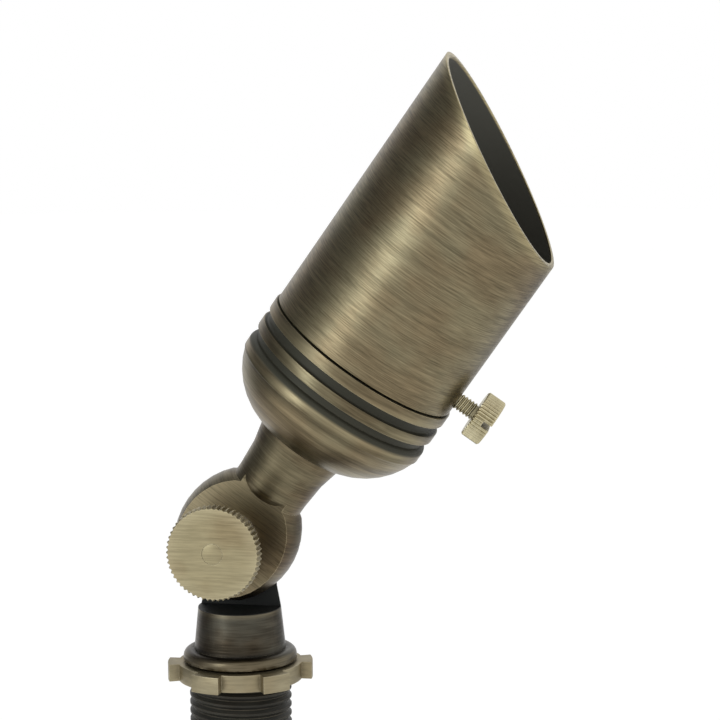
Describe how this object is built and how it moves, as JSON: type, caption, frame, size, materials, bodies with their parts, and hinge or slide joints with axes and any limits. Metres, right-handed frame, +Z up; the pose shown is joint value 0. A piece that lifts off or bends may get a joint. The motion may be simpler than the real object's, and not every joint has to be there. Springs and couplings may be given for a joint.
{
  "type": "garden spike spotlight",
  "caption": "Brass garden spotlight: bullet lamp head with slanted glare shroud, thumb-screw tilt knuckle, threaded stem with lug locknut, and finned ground spike.",
  "frame": {"origin": "on the stem's axis at ground level, the underside of the spike's soil flange", "axes": "+Z up along the stem, +X the way the head leans, -Y the side of the tilt knob"},
  "size_m": [0.0865, 0.0435, 0.3317],
  "materials": {
    "antique_brass": "antique bronze patina, brushed round the axis",
    "bright_brass": "satin brass with a thin patina",
    "spike_plastic": "moulded black",
    "rubber": "matte black",
    "ceramic": "unglazed ceramic",
    "steel": "plain",
    "plain_brass": "bare turned brass",
    "lead_insulation": "glass-fibre sleeving",
    "tin": "tinned copper",
    "reflector": "facetted mirror coat on glass",
    "glass": "clear toughened",
    "quartz": "clear"
  },
  "bodies": {
    "spike": {"ground_spike": "spike_plastic"},
    "stem": {"lower_knuckle": "antique_brass", "knuckle_seal": "rubber", "cable_grommet": "rubber"},
    "locknut": {"locknut": "bright_brass"},
    "knob": {"pivot_screw": "bright_brass", "pivot_knob": "bright_brass"},
    "head": {"upper_knuckle": "antique_brass", "pivot_washer": "plain_brass", "lamp_cup": "antique_brass", "neck_washer": "plain_brass", "neck_nut": "plain_brass", "socket_plate": "steel", "socket_screws": "steel", "lamp_socket": "ceramic", "socket_contacts": "tin", "socket_leads": "lead_insulation", "crimp_splices": "tin", "lamp_foot": "ceramic", "lamp_pins": "tin", "lamp_reflector": "reflector", "lamp_capsule": "quartz", "lamp_glass": "glass"},
    "sleeve": {"lamp_sleeve": "antique_brass", "shroud_o_ring": "rubber", "lens_gasket": "rubber", "front_lens": "glass", "lens_ring": "plain_brass"},
    "shroud": {"shroud": "antique_brass"},
    "thumb_screw": {"shroud_thumb_screw": "bright_brass"}
  },
  "joints": [
    {"name": "stem_pan", "type": "hinge", "parent": "spike", "child": "stem", "pos_m": [0, 0, 0.0396], "axis": [0, 0, 1], "range_deg": [-180, 180]},
    {"name": "locknut_turn", "type": "hinge", "parent": "stem", "child": "locknut", "pos_m": [0, 0, 0.0376], "axis": [0, 0, 1], "continuous": true},
    {"name": "knob_turn", "type": "hinge", "parent": "stem", "child": "knob", "pos_m": [0, -0.0185, 0.066], "axis": [0, -1, 0], "continuous": true},
    {"name": "head_tilt", "type": "hinge", "parent": "stem", "child": "head", "pos_m": [0, 0, 0.066], "axis": [0, 1, 0], "range_deg": [-130, 60]},
    {"name": "sleeve_turn", "type": "hinge", "parent": "head", "child": "sleeve", "pos_m": [0.03352, 0, 0.11334], "axis": [0.5779, 0, 0.8161], "continuous": true},
    {"name": "shroud_slide", "type": "slide", "parent": "sleeve", "child": "shroud", "axis": [0.5779, 0, 0.8161], "range_m": [0, 0.012]},
    {"name": "thumb_screw_turn", "type": "hinge", "parent": "shroud", "child": "thumb_screw", "pos_m": [0.04796, 0.0023, 0.09239], "axis": [0.8124, 0.0958, -0.5752], "continuous": true}
  ]
}
